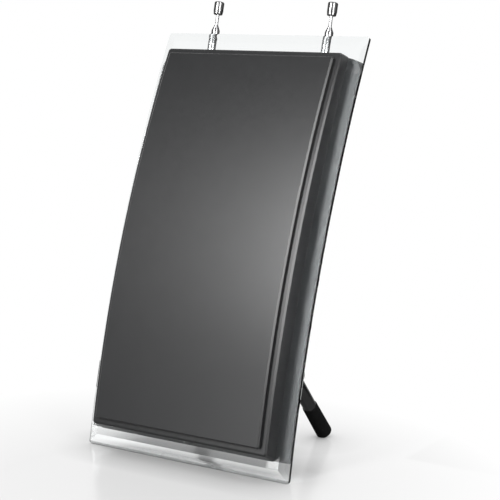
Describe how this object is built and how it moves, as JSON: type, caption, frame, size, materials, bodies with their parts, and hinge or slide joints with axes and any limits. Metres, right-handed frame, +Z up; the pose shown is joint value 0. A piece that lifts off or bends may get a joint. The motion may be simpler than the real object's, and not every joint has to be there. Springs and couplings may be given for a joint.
{
  "type": "tv antenna",
  "caption": "Flat indoor TV antenna: bowed clear plate with a two-tier dark front cover, rear housing, telescopic rods and folding rubber-tipped legs.",
  "frame": {"origin": "middle of the level bottom edge of the clear plate, on the surface it stands on", "axes": "+X to the viewer's right across the front, +Y straight back from the front, +Z up"},
  "size_m": [0.21, 0.1632, 0.3902],
  "materials": {
    "clear_acrylic": "clear polished acrylic with bevelled edges",
    "cover_plastic": "charcoal satin with a fine grain",
    "housing_plastic": "grey satin moulded plastic",
    "circuit_board": "green lacquered laminate",
    "tinned_sheet": "tinned sheet",
    "ferrite": "sintered ferrite",
    "capacitor_can": "sleeved aluminium can",
    "brass_fittings": "turned brass",
    "bright_steel": "zinc-plated steel",
    "nickel_fittings": "nickel plate",
    "black_steel": "blackened steel",
    "black_plastic": "black moulded plastic",
    "chrome_tube": "polished chrome",
    "satin_chrome": "satin chrome",
    "foot_rubber": "black rubber"
  },
  "bodies": {
    "housing": {"clear_plate": "clear_acrylic", "front_cover": "cover_plastic", "rear_cover": "housing_plastic", "uhf_board": "circuit_board", "uhf_element_left": "tinned_sheet", "uhf_element_right": "tinned_sheet", "tuner_board": "circuit_board", "shield_can": "tinned_sheet", "balun_core": "ferrite", "capacitors": "capacitor_can", "feed_pins": "brass_fittings", "front_spacers": "brass_fittings", "rear_spacers": "brass_fittings", "board_screws": "bright_steel", "board_nuts": "bright_steel", "coax_jack": "nickel_fittings", "jack_washer": "nickel_fittings", "jack_nut": "nickel_fittings", "cover_screws": "black_steel", "rod_bushes": "black_plastic", "rod_clips": "bright_steel", "clip_screws": "bright_steel", "rod_lugs": "brass_fittings", "lug_screws": "bright_steel", "leg_bracket_left": "black_plastic", "leg_bracket_right": "black_plastic", "bracket_screws": "black_steel", "hinge_pins": "bright_steel", "hinge_washers": "bright_steel", "rod_tube_left": "chrome_tube", "rod_tube_right": "chrome_tube"},
    "left_stage_1": {"stage_1_left": "chrome_tube"},
    "left_stage_2": {"stage_2_left": "chrome_tube"},
    "left_stage_3": {"stage_3_left": "chrome_tube"},
    "left_stage_4": {"stage_4_left": "chrome_tube"},
    "left_tip": {"tip_rod_left": "chrome_tube", "tip_cap_left": "satin_chrome"},
    "left_leg": {"leg_knuckle_left": "black_plastic", "leg_tube_left": "chrome_tube", "leg_foot_left": "foot_rubber"},
    "right_stage_1": {"stage_1_right": "chrome_tube"},
    "right_stage_2": {"stage_2_right": "chrome_tube"},
    "right_stage_3": {"stage_3_right": "chrome_tube"},
    "right_stage_4": {"stage_4_right": "chrome_tube"},
    "right_tip": {"tip_rod_right": "chrome_tube", "tip_cap_right": "satin_chrome"},
    "right_leg": {"leg_knuckle_right": "black_plastic", "leg_tube_right": "chrome_tube", "leg_foot_right": "foot_rubber"}
  },
  "joints": [
    {"name": "left_rod_slide_1", "type": "slide", "parent": "housing", "child": "left_stage_1", "axis": [0, 0.2504, 0.9681], "range_m": [0, 0.1988]},
    {"name": "left_rod_slide_2", "type": "slide", "parent": "left_stage_1", "child": "left_stage_2", "axis": [0, 0.2504, 0.9681], "range_m": [0, 0.1999]},
    {"name": "left_rod_slide_3", "type": "slide", "parent": "left_stage_2", "child": "left_stage_3", "axis": [0, 0.2504, 0.9681], "range_m": [0, 0.201]},
    {"name": "left_rod_slide_4", "type": "slide", "parent": "left_stage_3", "child": "left_stage_4", "axis": [0, 0.2504, 0.9681], "range_m": [0, 0.2021]},
    {"name": "left_rod_slide_5", "type": "slide", "parent": "left_stage_4", "child": "left_tip", "axis": [0, 0.2504, 0.9681], "range_m": [0, 0.2032]},
    {"name": "left_leg_hinge", "type": "hinge", "parent": "housing", "child": "left_leg", "pos_m": [-0.06, 0.07665, 0.07], "axis": [1, 0, 0], "range_deg": [0, 125]},
    {"name": "right_rod_slide_1", "type": "slide", "parent": "housing", "child": "right_stage_1", "axis": [0, 0.2504, 0.9681], "range_m": [0, 0.1988]},
    {"name": "right_rod_slide_2", "type": "slide", "parent": "right_stage_1", "child": "right_stage_2", "axis": [0, 0.2504, 0.9681], "range_m": [0, 0.1999]},
    {"name": "right_rod_slide_3", "type": "slide", "parent": "right_stage_2", "child": "right_stage_3", "axis": [0, 0.2504, 0.9681], "range_m": [0, 0.201]},
    {"name": "right_rod_slide_4", "type": "slide", "parent": "right_stage_3", "child": "right_stage_4", "axis": [0, 0.2504, 0.9681], "range_m": [0, 0.2021]},
    {"name": "right_rod_slide_5", "type": "slide", "parent": "right_stage_4", "child": "right_tip", "axis": [0, 0.2504, 0.9681], "range_m": [0, 0.2032]},
    {"name": "right_leg_hinge", "type": "hinge", "parent": "housing", "child": "right_leg", "pos_m": [0.06, 0.07665, 0.07], "axis": [1, 0, 0], "range_deg": [0, 125]}
  ]
}
